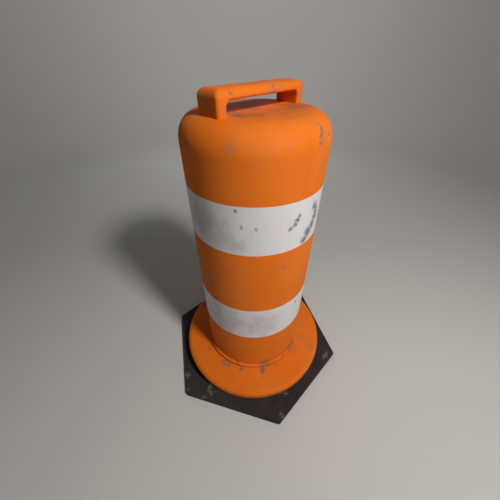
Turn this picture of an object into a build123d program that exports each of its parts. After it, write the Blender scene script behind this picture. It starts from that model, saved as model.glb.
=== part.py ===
from build123d import *
import os

# Traffic drum on a hexagonal rubber base. Millimetres, +Z up, the origin on the ground at the middle
# of the base. The carrying handle runs along X, and two corners of the hexagon point along X.
# The drum is one assembly that lifts straight off the foot flange's spigot.

# Rubber base: a hexagonal plate, a round plinth under the flange and a hub that centres the flange.
BASE_CORNER_R = 396.0
BASE_H = 20.0
BASE_CORNER_ROUND = 9.0
BASE_TOP_CHAMFER = 3.0
PLINTH_R = 298.0
PLINTH_TOP_Z = 46.0
HUB_R = 183.5
HUB_TOP_Z = 58.0
PLINTH_CHAMFER = 3.0
TREAD_W = 12.0
TREAD_DEPTH = 3.0
TREAD_INNER_R = 60.0

# Foot flange: a deep round dish with a rounded rim round a spigot, ribbed and bossed underneath.
FLANGE_FOOT_R = 305.0
FLANGE_RIM_R = 311.0
FLANGE_RIM_Z = 90.0
FLANGE_RIM_ROUND = 17.0
FLANGE_WALL = 5.0
RIM_TURN_IN = 1.0
SEAT_Z = 97.0
SEAT_OUTER_R = 214.0
SPIGOT_R = 191.5
SPIGOT_TOP_Z = 157.0
SPIGOT_TOP_R = 190.5
SPIGOT_WALL = 4.0
RIB_COUNT = 12
RIB_T = 4.0
BOSS_R = 12.0

# Snap tongues and locating keys on the spigot.
TONGUE_COUNT = 4
TONGUE_W = 44.0
SLIT_W = 3.0
SLIT_BOTTOM_Z = 111.0
HOOK_Z = 143.0
HOOK_H = 10.0
HOOK_R = 193.3
KEY_W = 12.0
KEY_H = 14.0
KEY_R = 200.0
KEY_ANGLE = 45.0
KEY_CLEARANCE = 0.6

# Drum shell: a slightly tapered cylinder with a rolled foot bead and an elliptical shoulder.
FOOT_GAP = 0.6
SHELL_WALL = 3.5
BODY_FOOT_R = 200.5
SHOULDER_Z = 955.0
SHOULDER_R = 191.0
SHOULDER_RUN = 55.5
CROWN_Z = 1015.0
BEAD_R = 209.5
BEAD_H = 18.5
BEAD_ROUND = 5.0
SNAP_RIB_Z = 131.0
SNAP_RIB_H = 8.0
SNAP_RIB_R = 193.8

# Reflective bands: thin sheet in shallow recesses, butted at a seam on the +Y side.
BAND_T = 0.6
SEAM_W = 0.8
LOWER_WHITE_Z = 319.0
LOWER_WHITE_H = 155.0
MIDDLE_ORANGE_Z = 516.0
MIDDLE_ORANGE_H = 152.0
UPPER_WHITE_Z = 709.5
UPPER_WHITE_H = 143.0
TOP_ORANGE_Z = UPPER_WHITE_Z + UPPER_WHITE_H
TOP_ORANGE_H = SHOULDER_Z - TOP_ORANGE_Z

# Handle: a thick low arch, bolted down from inside the drum.
HANDLE_HALF_L = 141.5
HANDLE_TOP_Z = 1065.0
HANDLE_DEPTH = 72.0
HANDLE_LEG_T = 25.0
HANDLE_BAR_T = 21.0
HANDLE_CORNER_ROUND = 17.0
HANDLE_END_ROUND = 8.0
HANDLE_EDGE_ROUND = 5.5
SLOT_CORNER_ROUND = 13.0
HANDLE_FOOT_Z = 995.0

# Fasteners: M8 hexagon screws in threaded inserts.
SCREW_R = 3.9
SCREW_HEAD_AF = 13.0
SCREW_HEAD_H = 5.3
SCREW_TIP_CHAMFER = 0.8
SCREW_HOLE_R = 4.5
INSERT_R = 6.0
INSERT_BORE_R = 4.0
WASHER_T = 2.0
WASHER_BORE_R = 4.4
BASE_SCREW_COUNT = 6
BASE_SCREW_CIRCLE_R = 256.0
BASE_SCREW_ANGLE = 30.0
BASE_WASHER_R = 15.0
COUNTERBORE_R = 17.0
COUNTERBORE_DEPTH = 13.0
BASE_INSERT_Z = 49.0
BASE_INSERT_H = 16.0
HANDLE_SCREW_X = 129.0
HANDLE_SCREW_Y = 22.0
HANDLE_SCREW_TOP_Z = 1037.0
HANDLE_INSERT_Z = 1018.0
HANDLE_INSERT_H = 18.0
HANDLE_WASHER_R = 9.0
HANDLE_BORE_SPARE = 1.0
PAD_X = 34.0
PAD_Y = 74.0
PAD_Z = 1008.0
PAD_TOP_Z = 1012.0
BACKING_X = 28.0
BACKING_Y = 68.0
BACKING_T = 3.0
BACKING_ROUND = 4.0

# How far a cutter passes the skin it cuts, and how far a feature's root goes into its wall.
CUT_PAST = 2.0
ROOT_BITE = 1.0

FOOT_Z = SEAT_Z + FOOT_GAP
BASE_INSERT_TOP_Z = BASE_INSERT_Z + BASE_INSERT_H
HANDLE_INSERT_TOP_Z = HANDLE_INSERT_Z + HANDLE_INSERT_H
BACKING_Z = PAD_Z - BACKING_T
BASE_SCREW_SPOTS = PolarLocations(BASE_SCREW_CIRCLE_R, BASE_SCREW_COUNT, BASE_SCREW_ANGLE).local_locations
HANDLE_SCREW_SPOTS = GridLocations(2 * HANDLE_SCREW_X, 2 * HANDLE_SCREW_Y, 2, 2).local_locations
HANDLE_LEG_SPOTS = GridLocations(2 * HANDLE_SCREW_X, 1, 2, 1).local_locations
ON_BOTTOM = (Align.CENTER, Align.CENTER, Align.MIN)


def body_radius(z):
    """Outer radius of the tapered wall at height z."""
    share = (z - FOOT_Z) / (SHOULDER_Z - FOOT_Z)
    return BODY_FOOT_R + (SHOULDER_R - BODY_FOOT_R) * share


def section(*points):
    """A flat face through (radius, height) points, to revolve about Z."""
    with BuildSketch(Plane.XZ) as flat:
        with BuildLine():
            Polyline(*points, close=True)
        make_face()
    return flat.sketch


def turned(*points):
    """The solid of revolution of section(), kept apart from the part being built."""
    with BuildPart(mode=Mode.PRIVATE) as solid:
        revolve(section(*points), axis=Axis.Z)
    return solid.part


def band_section(z_low, height, outward=0.0):
    """Half section of a strip lying in the wall's skin, thickened outward when it is a cutter."""
    z_high = z_low + height
    r_low = body_radius(z_low)
    r_high = body_radius(z_high)
    return (
        (r_low - BAND_T, z_low),
        (r_low + outward, z_low),
        (r_high + outward, z_high),
        (r_high - BAND_T, z_high),
    )


def drum_section(inset):
    """Half section of the drum's filled volume, drawn in from the outer skin by inset."""
    wall_low = (BODY_FOOT_R - inset, FOOT_Z)
    wall_high = (SHOULDER_R - inset, SHOULDER_Z)
    crown_z = CROWN_Z - inset
    arc_centre = (SHOULDER_R - SHOULDER_RUN, SHOULDER_Z)
    with BuildSketch(Plane.XZ) as flat:
        with BuildLine():
            Polyline((0, crown_z), (0, FOOT_Z), wall_low, wall_high)
            shoulder = EllipticalCenterArc(
                arc_centre, SHOULDER_RUN - inset, crown_z - SHOULDER_Z, arc_size=90
            )
            Line(shoulder @ 1, (0, crown_z))
        make_face()
    return flat.sketch


def save(built, name):
    """Labels a finished piece and writes its STEP file."""
    built.part.label = name
    export_step(built.part, f"parts/{name}.step")


def band(name, z_low, height):
    """One reflective strip, wrapped round the taper with a butt seam."""
    r_low = body_radius(z_low)
    taper = r_low - body_radius(z_low + height)
    with BuildPart() as strip:
        revolve(section(*band_section(z_low, height)), axis=Axis.Z)
        with Locations((0, r_low, z_low + height / 2)):
            Box(SEAM_W, 2 * taper + 4 * BAND_T, 2 * height, mode=Mode.SUBTRACT)
    save(strip, name)


def screws(name, spots, seat_z, top_z):
    """Hexagon screws whose heads hang below seat_z and whose tips reach top_z."""
    with BuildPart() as group:
        with BuildSketch(Plane.XY.offset(seat_z - SCREW_HEAD_H)):
            with Locations(spots):
                RegularPolygon(SCREW_HEAD_AF / 2, 6, major_radius=False)
        extrude(amount=SCREW_HEAD_H)
        with BuildSketch(Plane.XY.offset(seat_z)):
            with Locations(spots):
                Circle(SCREW_R)
        extrude(amount=top_z - seat_z)
        tips = group.faces().group_by(Axis.Z)[-1]
        chamfer(tips.edges(), SCREW_TIP_CHAMFER)
    save(group, name)


def rings(name, spots, z_low, height, outer_r, bore_r):
    """Flat rings on a pattern: washers and threaded inserts."""
    with BuildPart() as group:
        with BuildSketch(Plane.XY.offset(z_low)):
            with Locations(spots):
                Circle(outer_r)
                Circle(bore_r, mode=Mode.SUBTRACT)
        extrude(amount=height)
    save(group, name)


def make_rubber_base():
    with BuildPart() as base:
        with BuildSketch():
            RegularPolygon(BASE_CORNER_R, 6)
        extrude(amount=BASE_H)
        fillet(base.edges().filter_by(Axis.Z), BASE_CORNER_ROUND)
        chamfer(base.faces().sort_by(Axis.Z)[-1].edges(), BASE_TOP_CHAMFER)
        for radius, top_z in ((PLINTH_R, PLINTH_TOP_Z), (HUB_R, HUB_TOP_Z)):
            Cylinder(radius, top_z, align=ON_BOTTOM)
            chamfer(base.faces().sort_by(Axis.Z)[-1].edges(), PLINTH_CHAMFER)
        with Locations(BASE_SCREW_SPOTS):
            Cylinder(COUNTERBORE_R, COUNTERBORE_DEPTH, align=ON_BOTTOM, mode=Mode.SUBTRACT)
            Cylinder(SCREW_HOLE_R, HUB_TOP_Z, align=ON_BOTTOM, mode=Mode.SUBTRACT)
        with PolarLocations(TREAD_INNER_R + BASE_CORNER_R / 2, 6):
            Box(BASE_CORNER_R, TREAD_W, TREAD_DEPTH, align=ON_BOTTOM, mode=Mode.SUBTRACT)
    save(base, "rubber_base")


def flange_hollow():
    """The space under the flange's dish, with the ribs and bosses left standing in it."""
    foot_in = FLANGE_FOOT_R - FLANGE_WALL
    rim_in = FLANGE_RIM_R - FLANGE_WALL
    rim_top = FLANGE_RIM_Z - FLANGE_WALL
    seat_under = SEAT_Z - FLANGE_WALL
    flat_from = rim_in - FLANGE_RIM_ROUND
    turn_z = rim_top - FLANGE_RIM_ROUND
    with BuildPart() as hollow:
        revolve(
            section(
                (SPIGOT_R, PLINTH_TOP_Z),
                (foot_in, PLINTH_TOP_Z),
                (rim_in - RIM_TURN_IN, turn_z),
                (flat_from, rim_top),
                (SEAT_OUTER_R, seat_under),
                (SPIGOT_R, seat_under),
            ),
            axis=Axis.Z,
        )
        rib_l = rim_in - SPIGOT_R
        with PolarLocations(SPIGOT_R + rib_l / 2, RIB_COUNT):
            Box(rib_l + 2 * CUT_PAST, RIB_T, 2 * SEAT_Z, mode=Mode.SUBTRACT)
        with Locations(BASE_SCREW_SPOTS):
            Cylinder(BOSS_R, 2 * SEAT_Z, mode=Mode.SUBTRACT)
    return hollow.part


def flange_dish():
    """The dish and spigot as one turned shape, with the rounded rim."""
    spigot_in = SPIGOT_TOP_R - SPIGOT_WALL
    with BuildPart() as dish:
        revolve(
            section(
                (spigot_in, PLINTH_TOP_Z),
                (FLANGE_FOOT_R, PLINTH_TOP_Z),
                (FLANGE_RIM_R, FLANGE_RIM_Z),
                (SEAT_OUTER_R, SEAT_Z),
                (SPIGOT_R, SEAT_Z),
                (SPIGOT_TOP_R, SPIGOT_TOP_Z),
                (spigot_in, SPIGOT_TOP_Z),
            ),
            axis=Axis.Z,
        )
        round_edges = dish.edges().filter_by(GeomType.CIRCLE)
        fillet(round_edges.group_by(SortBy.RADIUS)[-1], FLANGE_RIM_ROUND)
    return dish.part


def hook_ring_gaps():
    """The arcs of the hook ring between the tongues, to cut away."""
    with BuildPart(mode=Mode.PRIVATE) as gaps:
        with BuildSketch(Plane.XY.offset(HOOK_Z)):
            Circle(HOOK_R + CUT_PAST)
            Circle(SPIGOT_R, mode=Mode.SUBTRACT)
            Rectangle(2 * FLANGE_RIM_R, TONGUE_W, mode=Mode.SUBTRACT)
            Rectangle(TONGUE_W, 2 * FLANGE_RIM_R, mode=Mode.SUBTRACT)
        extrude(amount=HOOK_H)
    return gaps.part


def make_foot_flange():
    root_r = SPIGOT_TOP_R - ROOT_BITE
    hook_ring = turned(
        (root_r, HOOK_Z), (HOOK_R, HOOK_Z), (HOOK_R, HOOK_Z + HOOK_H / 3), (root_r, HOOK_Z + HOOK_H)
    )
    key_l = KEY_R - root_r
    slit_h = SPIGOT_TOP_Z - SLIT_BOTTOM_Z
    slit_y = (TONGUE_W + SLIT_W) / 2
    slit_l = 4 * SPIGOT_WALL
    with BuildPart() as flange:
        add(flange_dish())
        add(flange_hollow(), mode=Mode.SUBTRACT)
        with Locations(BASE_SCREW_SPOTS):
            Cylinder(INSERT_R, BASE_INSERT_TOP_Z, align=ON_BOTTOM, mode=Mode.SUBTRACT)
        with PolarLocations(KEY_R - key_l / 2, TONGUE_COUNT, KEY_ANGLE):
            with Locations((0, 0, SEAT_Z)):
                Box(key_l, KEY_W, KEY_H, align=ON_BOTTOM)
        add(hook_ring)
        add(hook_ring_gaps(), mode=Mode.SUBTRACT)
        with PolarLocations(SPIGOT_R, TONGUE_COUNT):
            with Locations((0, -slit_y, SLIT_BOTTOM_Z), (0, slit_y, SLIT_BOTTOM_Z)):
                Box(slit_l, SLIT_W, 2 * slit_h, align=ON_BOTTOM, mode=Mode.SUBTRACT)
    save(flange, "foot_flange")


def drum_blank():
    """The hollow drum before its recesses and holes: wall, crown, foot bead and snap rib."""
    inner_foot_r = BODY_FOOT_R - SHELL_WALL
    bead_top = FOOT_Z + BEAD_H
    rib_root_r = body_radius(SNAP_RIB_Z + SNAP_RIB_H) - SHELL_WALL / 2
    with BuildPart() as blank:
        revolve(drum_section(0), axis=Axis.Z)
        add(turned((inner_foot_r, FOOT_Z), (BEAD_R, FOOT_Z), (BEAD_R, bead_top), (inner_foot_r, bead_top)))
        bead_edges = blank.edges().filter_by(GeomType.CIRCLE).group_by(SortBy.RADIUS)[-1]
        fillet(bead_edges, BEAD_ROUND)
        revolve(drum_section(SHELL_WALL), axis=Axis.Z, mode=Mode.SUBTRACT)
        add(
            turned(
                (rib_root_r, SNAP_RIB_Z),
                (rib_root_r, SNAP_RIB_Z + SNAP_RIB_H),
                (SNAP_RIB_R, SNAP_RIB_Z + SNAP_RIB_H / 2),
                (SNAP_RIB_R, SNAP_RIB_Z + SNAP_RIB_H / 4),
            )
        )
    return blank.part


def make_drum_shell():
    notch_r = KEY_R + KEY_CLEARANCE
    notch_w = KEY_W + 2 * KEY_CLEARANCE
    notch_h = KEY_H + 2 * KEY_CLEARANCE
    with BuildPart() as shell:
        add(drum_blank())
        for z_low, height in BAND_SPANS:
            add(turned(*band_section(z_low, height, outward=CUT_PAST)), mode=Mode.SUBTRACT)
        with PolarLocations(notch_r - SHELL_WALL, TONGUE_COUNT, KEY_ANGLE):
            with Locations((0, 0, SEAT_Z)):
                Box(2 * SHELL_WALL, notch_w, notch_h, align=ON_BOTTOM, mode=Mode.SUBTRACT)
        with Locations(HANDLE_LEG_SPOTS):
            with Locations((0, 0, PAD_Z)):
                Box(PAD_X, PAD_Y, PAD_TOP_Z - PAD_Z, align=ON_BOTTOM)
        with Locations(HANDLE_SCREW_SPOTS):
            Cylinder(SCREW_HOLE_R, CROWN_Z, align=ON_BOTTOM, mode=Mode.SUBTRACT)
    save(shell, "drum_shell")


def handle_arch():
    """The handle's outline with its finger slot, all edges softened."""
    height = HANDLE_TOP_Z - HANDLE_FOOT_Z
    with BuildPart() as arch:
        with Locations((0, 0, HANDLE_FOOT_Z)):
            Box(2 * HANDLE_HALF_L, HANDLE_DEPTH, height, align=ON_BOTTOM)
        fillet(arch.edges().filter_by(Axis.Z), HANDLE_END_ROUND)
        top_edges = arch.faces().sort_by(Axis.Z)[-1].edges()
        fillet(top_edges.filter_by(Axis.Y), HANDLE_CORNER_ROUND)
        with BuildSketch(Plane.XZ):
            with Locations((0, HANDLE_FOOT_Z - SLOT_CORNER_ROUND)):
                RectangleRounded(
                    2 * (HANDLE_HALF_L - HANDLE_LEG_T),
                    height - HANDLE_BAR_T + SLOT_CORNER_ROUND,
                    SLOT_CORNER_ROUND,
                    align=(Align.CENTER, Align.MIN),
                )
        extrude(amount=HANDLE_DEPTH, both=True, mode=Mode.SUBTRACT)
        front_and_back = arch.faces().filter_by(Axis.Y).group_by(Axis.Y)
        outline = front_and_back[0].edges() + front_and_back[-1].edges()
        outline = outline.filter_by(lambda e: e.center().Z > HANDLE_FOOT_Z + CUT_PAST)
        fillet(outline, HANDLE_EDGE_ROUND)
    return arch.part


def make_handle():
    bore_top = HANDLE_SCREW_TOP_Z + HANDLE_BORE_SPARE
    with BuildPart() as handle:
        add(handle_arch())
        revolve(drum_section(0), axis=Axis.Z, mode=Mode.SUBTRACT)
        with Locations(HANDLE_SCREW_SPOTS):
            Cylinder(INSERT_R, HANDLE_INSERT_TOP_Z, align=ON_BOTTOM, mode=Mode.SUBTRACT)
            Cylinder(INSERT_BORE_R, bore_top, align=ON_BOTTOM, mode=Mode.SUBTRACT)
    save(handle, "handle")


def make_backing_plates():
    with BuildPart() as plates:
        with BuildSketch(Plane.XY.offset(BACKING_Z)):
            with Locations(HANDLE_LEG_SPOTS):
                RectangleRounded(BACKING_X, BACKING_Y, BACKING_ROUND)
            with Locations(HANDLE_SCREW_SPOTS):
                Circle(SCREW_HOLE_R, mode=Mode.SUBTRACT)
        extrude(amount=BACKING_T)
    save(plates, "handle_backing_plates")


BAND_NAMES = ("lower_white_band", "middle_orange_band", "upper_white_band", "top_orange_band")
BAND_SPANS = (
    (LOWER_WHITE_Z, LOWER_WHITE_H),
    (MIDDLE_ORANGE_Z, MIDDLE_ORANGE_H),
    (UPPER_WHITE_Z, UPPER_WHITE_H),
    (TOP_ORANGE_Z, TOP_ORANGE_H),
)
BASE_WASHER_Z = COUNTERBORE_DEPTH - WASHER_T
HANDLE_WASHER_Z = BACKING_Z - WASHER_T

os.makedirs("parts", exist_ok=True)

make_rubber_base()
make_foot_flange()
rings("flange_inserts", BASE_SCREW_SPOTS, BASE_INSERT_Z, BASE_INSERT_H, INSERT_R, INSERT_BORE_R)
rings("base_washers", BASE_SCREW_SPOTS, BASE_WASHER_Z, WASHER_T, BASE_WASHER_R, WASHER_BORE_R)
screws("base_screws", BASE_SCREW_SPOTS, BASE_WASHER_Z, BASE_INSERT_TOP_Z)

make_drum_shell()
for band_name, (band_z, band_h) in zip(BAND_NAMES, BAND_SPANS):
    band(band_name, band_z, band_h)

make_handle()
make_backing_plates()
rings("handle_inserts", HANDLE_SCREW_SPOTS, HANDLE_INSERT_Z, HANDLE_INSERT_H, INSERT_R, INSERT_BORE_R)
rings("handle_washers", HANDLE_SCREW_SPOTS, HANDLE_WASHER_Z, WASHER_T, HANDLE_WASHER_R, WASHER_BORE_R)
screws("handle_screws", HANDLE_SCREW_SPOTS, HANDLE_WASHER_Z, HANDLE_SCREW_TOP_Z)
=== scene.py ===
import math

import bpy
from mathutils import Matrix, Vector


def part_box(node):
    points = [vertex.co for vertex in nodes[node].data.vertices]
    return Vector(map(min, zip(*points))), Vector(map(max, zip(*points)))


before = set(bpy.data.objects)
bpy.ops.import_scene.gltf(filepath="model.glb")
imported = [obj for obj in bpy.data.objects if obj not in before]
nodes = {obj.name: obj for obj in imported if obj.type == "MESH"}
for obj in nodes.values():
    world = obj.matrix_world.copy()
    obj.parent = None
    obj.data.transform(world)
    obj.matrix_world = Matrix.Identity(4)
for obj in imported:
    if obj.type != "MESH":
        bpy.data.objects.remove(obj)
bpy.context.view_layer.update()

# Places, sizes and distances are in metres.

# The camera: a wide lens close above the drum.
CAMERA_PLACE = Vector((-0.4730, -0.4619, 1.1238))
CAMERA_LOOK = Vector((0.5372, 0.5459, -0.6431))
CAMERA_ROLL = math.radians(-0.18)
LENS_MM = 17.28
SENSOR_MM = 36.0
CLIP_START = 0.01

# The stage: a round pale floor that sweeps up into a wall, well clear of the drum.
FLOOR_R = 3.4
SWEEP_R = 1.6
SWEEP_STEPS = 12
WALL_TOP = 7.0
STAGE_SIDES = 96
FLOOR_COLOUR = (0.64, 0.63, 0.61)
MOTTLE_SHADE = 0.93

# The lights: a small key in front, a wide fill behind, one for the far wall, and a faint sky.
DRUM_MIDDLE = Vector((0, 0, 0.6))
KEY_PLACE = Vector((-0.06, -1.80, 2.42))
KEY_SIZE = 0.42
KEY_WATTS = 54.0
KEY_COLOUR = (1.0, 0.975, 0.94)
FILL_PLACE = Vector((1.7, 2.4, 2.0))
FILL_SIZE = 2.0
FILL_WATTS = 4.5
FILL_COLOUR = (0.93, 0.96, 1.0)
BACKDROP_PLACE = Vector((1.7, 1.7, 3.0))
BACKDROP_AIM = Vector((3.5, 3.5, 1.6))
BACKDROP_SIZE = 3.0
BACKDROP_WATTS = 32.0
BACKDROP_COLOUR = (1.0, 0.99, 0.97)
SKY_COLOUR = (0.95, 0.97, 1.0, 1.0)
SKY_STRENGTH = 0.026

# Surface colours, in linear light.
ORANGE = (0.78, 0.170, 0.011)
ORANGE_FADED = (0.82, 0.192, 0.019)
ORANGE_DEEP = (0.68, 0.126, 0.008)
SCUFF = (0.215, 0.135, 0.092)
DUST = (0.37, 0.142, 0.056)
RUBBED = (0.49, 0.180, 0.072)
WHITE = (0.75, 0.720, 0.735)
# The soiled white is also laid on as painted shade, on the side of the white bands away from the
# key light.
WHITE_SOILED_AND_SHADED = (0.46, 0.445, 0.44)
NICK = (0.085, 0.080, 0.082)
RUBBER = (0.028, 0.020, 0.021)
RUBBER_WORN = (0.046, 0.035, 0.036)
RUBBER_SCUFF = (0.145, 0.130, 0.132)
ZINC = (0.60, 0.61, 0.63)
ZINC_DULL = (0.36, 0.37, 0.39)
BRASS = (0.70, 0.50, 0.22)
BRASS_DULL = (0.34, 0.22, 0.09)

# How much each kind of wear and painted shade hides what is under it, from 0 to 1.
STREAK_COVER = 0.30
RUBBED_COVER = 0.62
HAZE_COVER = 0.20
FILM_COVER = 0.72
SCRAPE_COVER = 0.75
HAIRLINE_COVER = 0.22
CLOUD_COVER = 0.30
# The smears on the white sheeting are soiling and painted shade together.
SOIL_AND_SHADE_COVER = 0.62
NICK_COVER = 0.80
CRUMB_COVER = 0.60
RUBBER_SCRAPE_COVER = 0.80

# How far noise pushes the edges of worn places about.
WIDE_DRIFT = 0.034
FINE_DRIFT = 0.014
DRIFT_SCALE = 42.0
DRIFT_DETAIL = 5.0
DRIFT_ROUGHNESS = 0.68

# How strongly a worn place draws marks towards its middle.
SCRAPE_PULL = 0.28
SMUDGE_PULL = 0.26

# The grain of scrapes on plastic and rubber, and of the finer nicks on the white sheeting.
SCRAPE_SCALE = 95.0
NICK_SCALE = 190.0
NICK_FLATTEN = 1.9

# The top of the rubber plate.
PLATE_TOP = 0.020


class Graph:
    """A material's nodes, with one short call for each kind that these materials use.

    Scales of noise and cells count how many there are to the metre.
    """

    def __init__(self, name, drift=WIDE_DRIFT):
        self.material = bpy.data.materials.new(name)
        self.material.use_nodes = True
        self.tree = self.material.node_tree
        self.shader = self.tree.nodes["Principled BSDF"]
        self.place = self.tree.nodes.new("ShaderNodeTexCoord").outputs["Object"]
        self.drifted = self._drift(drift)

    def _feed(self, socket, value):
        """Joins a node's output to a socket, or sets the socket to a number or colour."""
        if isinstance(value, bpy.types.NodeSocket):
            self.tree.links.new(value, socket)
        elif isinstance(value, tuple) and len(value) == 3 and socket.type == "RGBA":
            socket.default_value = (*value, 1.0)
        else:
            socket.default_value = value

    def _drift(self, reach):
        """The surface's place pushed about by noise, which makes patches measured in it ragged."""
        noise = self.tree.nodes.new("ShaderNodeTexNoise")
        self._feed(noise.inputs["Vector"], self.place)
        noise.inputs["Scale"].default_value = DRIFT_SCALE
        noise.inputs["Detail"].default_value = DRIFT_DETAIL
        noise.inputs["Roughness"].default_value = DRIFT_ROUGHNESS
        push = self.tree.nodes.new("ShaderNodeVectorMath")
        push.operation = "MULTIPLY_ADD"
        self._feed(push.inputs[0], noise.outputs["Color"])
        push.inputs[1].default_value = (2 * reach, 2 * reach, 2 * reach)
        push.inputs[2].default_value = (-reach, -reach, -reach)
        moved = self.tree.nodes.new("ShaderNodeVectorMath")
        moved.operation = "ADD"
        self._feed(moved.inputs[0], self.place)
        self._feed(moved.inputs[1], push.outputs["Vector"])
        return moved.outputs["Vector"]

    def math(self, operation, first, second):
        node = self.tree.nodes.new("ShaderNodeMath")
        node.operation = operation
        self._feed(node.inputs[0], first)
        self._feed(node.inputs[1], second)
        return node.outputs[0]

    def step(self, value, low, high, start=0.0, end=1.0):
        """A smooth change from start to end as value goes from low to high."""
        node = self.tree.nodes.new("ShaderNodeMapRange")
        node.interpolation_type = "SMOOTHSTEP"
        self._feed(node.inputs["Value"], value)
        node.inputs["From Min"].default_value = low
        node.inputs["From Max"].default_value = high
        node.inputs["To Min"].default_value = start
        node.inputs["To Max"].default_value = end
        return node.outputs["Result"]

    def mix(self, factor, first, second):
        node = self.tree.nodes.new("ShaderNodeMix")
        node.data_type = "RGBA"
        self._feed(node.inputs["Factor"], factor)
        self._feed(node.inputs["A"], first)
        self._feed(node.inputs["B"], second)
        return node.outputs["Result"]

    def stretched(self, x, y, z):
        """The surface's place, with each axis multiplied, for grain that runs one way."""
        node = self.tree.nodes.new("ShaderNodeMapping")
        node.inputs["Scale"].default_value = (x, y, z)
        self._feed(node.inputs["Vector"], self.place)
        return node.outputs["Vector"]

    def noise(self, scale, detail=3.0, roughness=0.5, place=None):
        node = self.tree.nodes.new("ShaderNodeTexNoise")
        self._feed(node.inputs["Vector"], place or self.place)
        node.inputs["Scale"].default_value = scale
        node.inputs["Detail"].default_value = detail
        node.inputs["Roughness"].default_value = roughness
        return node.outputs["Fac"]

    def cells(self, scale):
        """The distance to the nearest edge of a pattern of cells."""
        node = self.tree.nodes.new("ShaderNodeTexVoronoi")
        node.feature = "DISTANCE_TO_EDGE"
        self._feed(node.inputs["Vector"], self.place)
        node.inputs["Scale"].default_value = scale
        return node.outputs["Distance"]

    def near(self, spot, radius):
        """1 at a spot, falling to 0 at radius metres from it."""
        node = self.tree.nodes.new("ShaderNodeVectorMath")
        node.operation = "DISTANCE"
        self._feed(node.inputs[0], self.drifted)
        node.inputs[1].default_value = spot
        return self.step(node.outputs["Value"], 0.0, radius, 1.0, 0.0)

    def near_any(self, spots):
        """The largest of near() over a list of (spot, radius)."""
        total = self.near(*spots[0])
        for spot in spots[1:]:
            total = self.math("MAXIMUM", total, self.near(*spot))
        return total

    def bump(self, height, distance, strength, under=None):
        """Relief up to distance high, added to the bump under it. A negative strength sinks it."""
        node = self.tree.nodes.new("ShaderNodeBump")
        node.inputs["Strength"].default_value = strength
        node.inputs["Distance"].default_value = distance
        self._feed(node.inputs["Height"], height)
        if under is not None:
            self._feed(node.inputs["Normal"], under)
        return node.outputs["Normal"]

    def finish(self, colour, roughness, normal, **constants):
        """Joins the shader up. Each constant is a shader socket's name, with _ for a space."""
        self._feed(self.shader.inputs["Base Color"], colour)
        self._feed(self.shader.inputs["Roughness"], roughness)
        self._feed(self.shader.inputs["Normal"], normal)
        for name, value in constants.items():
            socket = name.replace("_", " ").title().replace("Ior", "IOR")
            self.shader.inputs[socket].default_value = value
        return self.material


def on_drum(azimuth, height, radius):
    """A point at that azimuth in degrees, height and radius, in metres."""
    turn = math.radians(azimuth)
    return (radius * math.cos(turn), radius * math.sin(turn), height)


def scrapes(graph, spots, scale=SCRAPE_SCALE, place=None):
    """Small ragged marks that break up away from the given spots."""
    near = graph.near_any(spots)
    pulled = graph.math("MULTIPLY", near, SCRAPE_PULL)
    broken = graph.math("ADD", pulled, graph.noise(scale, 8.0, 0.75, place))
    return graph.math("MULTIPLY", graph.step(broken, 0.58, 0.70), graph.step(near, 0.0, 0.30))


def smudge(graph, spots):
    """A soft cloudy place, half see-through: rubbing on the plastic, soiling and painted shade on
    the white sheeting.
    """
    near = graph.near_any(spots)
    pulled = graph.math("MULTIPLY", near, SMUDGE_PULL)
    cloud = graph.math("ADD", pulled, graph.noise(27.0, 5.0, 0.64))
    return graph.math("MULTIPLY", graph.step(cloud, 0.42, 0.86), graph.step(near, 0.0, 0.70))


def orange_plastic(name, scraped, rubbed, loose=0.60, filmed=()):
    """Moulded orange plastic, sun-faded, with grey scrapes, rubbed places and films of dust.

    The higher loose is, the less haze there is away from the rubbed places.
    """
    graph = Graph(name)
    fade = graph.step(graph.noise(5.0, 3.0), 0.35, 0.7)
    colour = graph.mix(fade, ORANGE, ORANGE_FADED)
    streaks = graph.noise(1.0, 4.0, 0.6, graph.stretched(34.0, 34.0, 3.5))
    colour = graph.mix(graph.step(streaks, 0.50, 0.80, 0.0, STREAK_COVER), colour, ORANGE_DEEP)
    dust = graph.math("MULTIPLY", smudge(graph, rubbed), RUBBED_COVER)
    haze = graph.step(graph.noise(10.0, 2.0), loose, loose + 0.12)
    haze = graph.math("MULTIPLY", haze, HAZE_COVER)
    haze = graph.math("MULTIPLY", haze, graph.step(graph.noise(60.0, 5.0, 0.7), 0.40, 0.62))
    colour = graph.mix(graph.math("MAXIMUM", dust, haze), colour, RUBBED)
    if filmed:
        film = graph.near_any(filmed)
        film = graph.math("MULTIPLY", film, graph.step(graph.noise(13.0, 4.0), 0.25, 0.65))
        colour = graph.mix(graph.step(film, 0.05, 0.55, 0.0, FILM_COVER), colour, DUST)
    worn = graph.math("MULTIPLY", scrapes(graph, scraped), SCRAPE_COVER)
    hairlines = graph.noise(1.0, 2.0, 0.5, graph.stretched(240.0, 240.0, 20.0))
    worn = graph.math("MAXIMUM", worn, graph.step(hairlines, 0.72, 0.80, 0.0, HAIRLINE_COVER))
    colour = graph.mix(worn, colour, SCUFF)
    roughness = graph.step(worn, 0.0, 1.0, 0.66, 0.84)
    normal = graph.bump(graph.noise(9.0, 2.0), 0.003, 0.30)
    normal = graph.bump(graph.noise(520.0, 2.0), 0.0003, 0.25, normal)
    normal = graph.bump(worn, 0.0004, -0.6, normal)
    return graph.finish(colour, roughness, normal, specular_ior_level=0.12)


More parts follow.
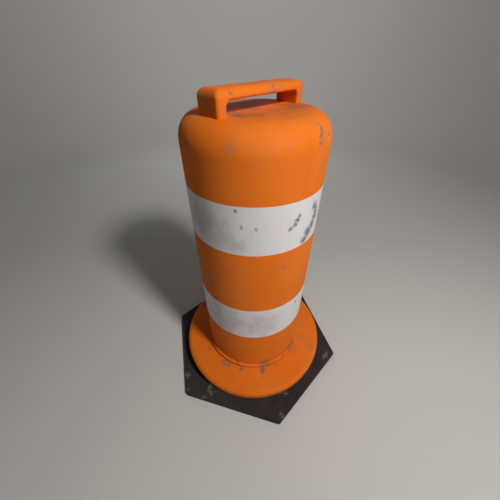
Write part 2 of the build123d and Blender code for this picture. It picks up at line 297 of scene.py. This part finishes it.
def white_sheeting(name, nicked, soil_and_shade_spots):
    """White reflective sheet with a faint cell pattern, grey smears that are soiling and painted
    shade, and black nicks.
    """
    graph = Graph(name, FINE_DRIFT)
    streaks = graph.step(graph.noise(1.0, 4.0, 0.6, graph.stretched(30.0, 30.0, 4.0)), 0.40, 0.75)
    clouds = graph.math("MULTIPLY", streaks, graph.step(graph.noise(16.0, 4.0), 0.35, 0.7))
    colour = graph.mix(graph.math("MULTIPLY", clouds, CLOUD_COVER), WHITE, WHITE_SOILED_AND_SHADED)
    # Grey smears: soiling, and painted shade on the side away from the key light.
    soil_and_shade = graph.math("MULTIPLY", smudge(graph, soil_and_shade_spots), SOIL_AND_SHADE_COVER)
    colour = graph.mix(soil_and_shade, colour, WHITE_SOILED_AND_SHADED)
    nicks = scrapes(graph, nicked, NICK_SCALE, graph.stretched(1.0, 1.0, NICK_FLATTEN))
    nicks = graph.math("MULTIPLY", nicks, NICK_COVER)
    colour = graph.mix(nicks, colour, NICK)
    roughness = graph.step(nicks, 0.0, 1.0, 0.48, 0.78)
    cells = graph.step(graph.cells(210.0), 0.0, 0.09)
    normal = graph.bump(cells, 0.0002, 0.15)
    normal = graph.bump(nicks, 0.0004, -0.8, normal)
    return graph.finish(colour, roughness, normal, coat_weight=0.12, coat_roughness=0.35)


def base_rubber(rubbed):
    """Moulded recycled rubber: dark crumb with grey rubbed places."""
    graph = Graph("base_rubber")
    crumb = graph.noise(240.0, 4.0, 0.7)
    colour = graph.mix(graph.step(graph.noise(7.0, 4.0, 0.6), 0.35, 0.75), RUBBER, RUBBER_WORN)
    colour = graph.mix(graph.step(crumb, 0.58, 0.75, 0.0, CRUMB_COVER), colour, RUBBER_WORN)
    scuffs = graph.math("MULTIPLY", scrapes(graph, rubbed), RUBBER_SCRAPE_COVER)
    colour = graph.mix(scuffs, colour, RUBBER_SCUFF)
    roughness = graph.step(crumb, 0.3, 0.8, 0.85, 0.66)
    normal = graph.bump(crumb, 0.0014, 0.5)
    normal = graph.bump(graph.noise(34.0, 3.0), 0.003, 0.35, normal)
    return graph.finish(colour, roughness, normal, specular_ior_level=0.30)


def plated_metal(name, bright, dull, grain):
    """Plated metal with a fine turned grain and dull, stained places."""
    graph = Graph(name)
    stain = graph.step(graph.noise(160.0, 4.0, 0.65), 0.42, 0.70)
    colour = graph.mix(stain, bright, dull)
    roughness = graph.step(stain, 0.0, 1.0, 0.28, 0.55)
    normal = graph.bump(graph.noise(grain, 2.0, 0.5, graph.stretched(1.0, 1.0, 8.0)), 0.0001, 0.4)
    return graph.finish(colour, roughness, normal, metallic=1.0)


def floor_finish():
    """Pale matt studio floor with a very faint mottle."""
    graph = Graph("studio_floor")
    mottle = graph.step(graph.noise(2.2, 4.0), 0.3, 0.7, 0.0, 0.12)
    colour = graph.mix(mottle, FLOOR_COLOUR, tuple(MOTTLE_SHADE * c for c in FLOOR_COLOUR))
    roughness = graph.step(graph.noise(30.0, 2.0), 0.3, 0.7, 0.75, 0.85)
    normal = graph.bump(graph.noise(120.0, 2.0), 0.0005, 0.1)
    return graph.finish(colour, roughness, normal, specular_ior_level=0.2)


def dress(names, material):
    """Gives CAD nodes a material in every slot."""
    for name in names:
        node = nodes[name]
        if not node.material_slots:
            node.data.materials.append(material)
        for slot in node.material_slots:
            slot.material = material


def dress_shell():
    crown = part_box("drum_shell")[1].z
    scraped = [
        ((-0.092, -0.038, crown), 0.020),
        (on_drum(-83, 0.999, 0.174), 0.015),
        (on_drum(-86, 0.989, 0.181), 0.019),
        (on_drum(-88, 0.978, 0.186), 0.017),
        (on_drum(-74, 0.971, 0.189), 0.012),
        (on_drum(-88, 0.966, 0.190), 0.009),
        (on_drum(-154, 0.116, 0.205), 0.016),
        (on_drum(-118, 0.114, 0.208), 0.012),
        (on_drum(-96, 0.114, 0.208), 0.014),
        (on_drum(40, 0.980, 0.186), 0.030),
        (on_drum(125, 0.240, 0.199), 0.028),
        (on_drum(15, 0.690, 0.194), 0.022),
    ]
    rubbed = [
        ((-0.070, -0.026, crown), 0.040),
        ((0.010, -0.058, crown), 0.050),
        ((0.023, -0.133, crown), 0.026),
        ((0.030, 0.075, crown), 0.080),
        (on_drum(-87, 1.007, 0.163), 0.020),
        (on_drum(-150, 0.978, 0.186), 0.024),
        (on_drum(172, 0.960, 0.191), 0.040),
        (on_drum(-113, 0.970, 0.189), 0.018),
        (on_drum(-84, 0.980, 0.185), 0.034),
        (on_drum(-92, 0.240, 0.199), 0.040),
    ]
    filmed = [
        ((-0.072, -0.030, crown), 0.060),
        ((-0.035, -0.042, crown), 0.075),
        ((0.010, -0.050, crown), 0.085),
        ((0.055, -0.052, crown), 0.085),
        ((0.100, -0.055, crown), 0.070),
        ((0.000, 0.060, crown), 0.090),
        (on_drum(-120, 0.105, 0.206), 0.050),
        (on_drum(-80, 0.105, 0.206), 0.060),
    ]
    dress(["drum_shell"], orange_plastic("shell_plastic", scraped, rubbed, filmed=filmed))


def dress_sheeting():
    scraped = [
        (on_drum(-79, 0.512, 0.196), 0.016),
        (on_drum(-110, 0.655, 0.194), 0.013),
        (on_drum(60, 0.600, 0.195), 0.030),
    ]
    rubbed = [
        (on_drum(-160, 0.651, 0.194), 0.034),
        (on_drum(-110, 0.653, 0.194), 0.034),
        (on_drum(-145, 0.563, 0.195), 0.030),
        (on_drum(-79, 0.512, 0.196), 0.040),
        (on_drum(-176, 0.545, 0.195), 0.036),
        (on_drum(-82, 0.917, 0.191), 0.030),
        (on_drum(30, 0.900, 0.191), 0.060),
    ]
    bands = ["top_orange_band", "middle_orange_band"]
    dress(bands, orange_plastic("orange_sheeting", scraped, rubbed, loose=0.62))
    nicked = [
        (on_drum(-149, 0.838, 0.192), 0.009),
        (on_drum(-145, 0.797, 0.193), 0.008),
        (on_drum(-134, 0.795, 0.193), 0.009),
        (on_drum(-100, 0.810, 0.192), 0.012),
        (on_drum(-102, 0.800, 0.193), 0.013),
        (on_drum(-104, 0.788, 0.193), 0.014),
        (on_drum(-107, 0.779, 0.193), 0.012),
        (on_drum(-91, 0.723, 0.194), 0.024),
        (on_drum(-87, 0.741, 0.193), 0.028),
        (on_drum(-82, 0.758, 0.193), 0.028),
        (on_drum(-79, 0.780, 0.193), 0.026),
        (on_drum(-82, 0.815, 0.192), 0.022),
        (on_drum(-78, 0.797, 0.192), 0.022),
        (on_drum(57, 0.794, 0.192), 0.011),
        (on_drum(60, 0.785, 0.193), 0.014),
        (on_drum(64, 0.772, 0.193), 0.012),
    ]
    # Smears. The three on the side away from the key light, from -178 to -149 degrees, are painted
    # shade as well as soiling.
    soil_and_shade_spots = [
        (on_drum(-178, 0.790, 0.192), 0.090),
        (on_drum(-163, 0.770, 0.193), 0.080),
        (on_drum(-149, 0.745, 0.193), 0.052),
        (on_drum(-86, 0.745, 0.193), 0.040),
        (on_drum(100, 0.800, 0.192), 0.080),
    ]
    dress(["upper_white_band"], white_sheeting("upper_white_sheeting", nicked, soil_and_shade_spots))
    lower_nicked = [
        (on_drum(-87, 0.446, 0.197), 0.012),
        (on_drum(147, 0.386, 0.197), 0.009),
        (on_drum(150, 0.380, 0.197), 0.012),
        (on_drum(154, 0.373, 0.197), 0.010),
    ]
    # Two wide grey smears: soiling and painted shade, darkening the lower band's left and middle.
    lower_soil_and_shade_spots = [
        (on_drum(-165, 0.390, 0.197), 0.150),
        (on_drum(-125, 0.395, 0.197), 0.120),
    ]
    lower_sheeting = white_sheeting("lower_white_sheeting", lower_nicked, lower_soil_and_shade_spots)
    dress(["lower_white_band"], lower_sheeting)


def dress_handle():
    low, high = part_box("handle")
    scraped = [
        ((-0.102, low.y, high.z - 0.011), 0.010),
        ((0.028, low.y, high.z - 0.011), 0.013),
        ((0.040, 0.022, high.z), 0.018),
    ]
    rubbed = [
        ((0.018, low.y, high.z - 0.013), 0.034),
        ((0.042, low.y, high.z - 0.008), 0.026),
        ((low.x, 0.000, high.z - 0.030), 0.040),
        ((-0.120, low.y, high.z - 0.042), 0.020),
        ((0.130, low.y, high.z - 0.028), 0.032),
        ((-0.020, 0.0, high.z), 0.050),
    ]
    dress(["handle"], orange_plastic("handle_plastic", scraped, rubbed, loose=0.64))


def dress_base():
    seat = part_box("drum_shell")[0].z
    scraped = [
        (on_drum(168, seat, 0.224), 0.016),
        (on_drum(-169, seat, 0.221), 0.021),
        (on_drum(-163, seat, 0.221), 0.029),
        (on_drum(-148, seat, 0.217), 0.024),
        (on_drum(-125, seat, 0.222), 0.026),
        (on_drum(-108, seat, 0.216), 0.014),
        (on_drum(-78, seat, 0.220), 0.014),
        (on_drum(35, seat, 0.240), 0.028),
        (on_drum(110, 0.092, 0.280), 0.024),
    ]
    rubbed = [
        (on_drum(-165, seat, 0.226), 0.036),
        (on_drum(-148, seat, 0.222), 0.030),
        (on_drum(-125, seat, 0.226), 0.030),
        (on_drum(-78, seat, 0.224), 0.036),
        (on_drum(-62, 0.095, 0.240), 0.040),
        (on_drum(-45, seat, 0.229), 0.036),
        (on_drum(-68, 0.092, 0.276), 0.030),
        (on_drum(60, seat, 0.250), 0.060),
    ]
    dress(["foot_flange"], orange_plastic("flange_plastic", scraped, rubbed, loose=0.64))
    worn_rubber = [
        ((-0.347, 0.060, PLATE_TOP), 0.022),
        ((-0.386, 0.004, PLATE_TOP), 0.014),
        ((-0.308, -0.053, PLATE_TOP), 0.020),
        ((-0.322, -0.075, PLATE_TOP), 0.022),
        ((-0.350, -0.067, PLATE_TOP), 0.016),
        ((-0.100, -0.290, PLATE_TOP), 0.020),
        ((-0.115, -0.280, PLATE_TOP), 0.012),
        ((-0.170, -0.334, PLATE_TOP), 0.016),
        ((0.156, -0.325, PLATE_TOP), 0.018),
        ((0.172, -0.322, PLATE_TOP), 0.014),
        ((0.330, 0.060, PLATE_TOP), 0.030),
        ((0.110, 0.320, PLATE_TOP), 0.026),
    ]
    dress(["rubber_base"], base_rubber(worn_rubber))


def dress_object():
    dress_shell()
    dress_sheeting()
    dress_handle()
    dress_base()
    fasteners = [
        "base_screws", "base_washers", "handle_screws", "handle_washers", "handle_backing_plates",
    ]
    dress(fasteners, plated_metal("zinc_plate", ZINC, ZINC_DULL, 900.0))
    brass = plated_metal("insert_brass", BRASS, BRASS_DULL, 700.0)
    dress(["flange_inserts", "handle_inserts"], brass)


def stage_profile():
    """The stage's half section, as (distance from the middle, height): floor, sweep and wall."""
    profile = [(FLOOR_R, 0.0)]
    for step in range(1, SWEEP_STEPS + 1):
        turn = math.radians(90 * step / SWEEP_STEPS)
        profile.append((FLOOR_R + SWEEP_R * math.sin(turn), SWEEP_R - SWEEP_R * math.cos(turn)))
    profile.append((FLOOR_R + SWEEP_R, WALL_TOP))
    return profile


def make_stage():
    """A round floor that sweeps up into a wall all the way round."""
    profile = stage_profile()
    verts = []
    faces = [tuple(range(STAGE_SIDES))]
    for reach, height in profile:
        for side in range(STAGE_SIDES):
            turn = math.radians(360 * side / STAGE_SIDES)
            verts.append((reach * math.cos(turn), reach * math.sin(turn), height))
    for row in range(len(profile) - 1):
        for side in range(STAGE_SIDES):
            here = row * STAGE_SIDES + side
            beside = row * STAGE_SIDES + (side + 1) % STAGE_SIDES
            faces.append((here, here + STAGE_SIDES, beside + STAGE_SIDES, beside))
    mesh = bpy.data.meshes.new("studio_floor")
    mesh.from_pydata(verts, [], faces)
    mesh.shade_smooth()
    floor = bpy.data.objects.new("studio_floor", mesh)
    bpy.context.scene.collection.objects.link(floor)
    mesh.materials.append(floor_finish())


def area_light(name, place, aim, size, watts, colour):
    """A round soft light at a place, pointed at aim."""
    light = bpy.data.lights.new(name, "AREA")
    light.shape = "DISK"
    light.size = size
    light.energy = watts
    light.color = colour
    lamp = bpy.data.objects.new(name, light)
    bpy.context.scene.collection.objects.link(lamp)
    lamp.location = place
    lamp.rotation_euler = (aim - place).to_track_quat("-Z", "Y").to_euler()


def make_lights():
    area_light("key_light", KEY_PLACE, DRUM_MIDDLE, KEY_SIZE, KEY_WATTS, KEY_COLOUR)
    area_light("fill_light", FILL_PLACE, DRUM_MIDDLE, FILL_SIZE, FILL_WATTS, FILL_COLOUR)
    area_light("backdrop_light", BACKDROP_PLACE, BACKDROP_AIM,
               BACKDROP_SIZE, BACKDROP_WATTS, BACKDROP_COLOUR)
    world = bpy.data.worlds.new("studio_air")
    bpy.context.scene.world = world
    world.use_nodes = True
    background = world.node_tree.nodes["Background"]
    background.inputs["Color"].default_value = SKY_COLOUR
    background.inputs["Strength"].default_value = SKY_STRENGTH


def make_camera():
    lens = bpy.data.cameras.new("camera")
    lens.sensor_width = SENSOR_MM
    lens.lens = LENS_MM
    lens.clip_start = CLIP_START
    camera = bpy.data.objects.new("camera", lens)
    bpy.context.scene.collection.objects.link(camera)
    turn = CAMERA_LOOK.to_track_quat("-Z", "Y").to_matrix().to_4x4()
    roll = Matrix.Rotation(CAMERA_ROLL, 4, "Z")
    camera.matrix_world = Matrix.Translation(CAMERA_PLACE) @ turn @ roll
    bpy.context.scene.camera = camera


make_camera()
make_lights()
make_stage()
dress_object()
bpy.context.scene.view_settings.view_transform = "Standard"
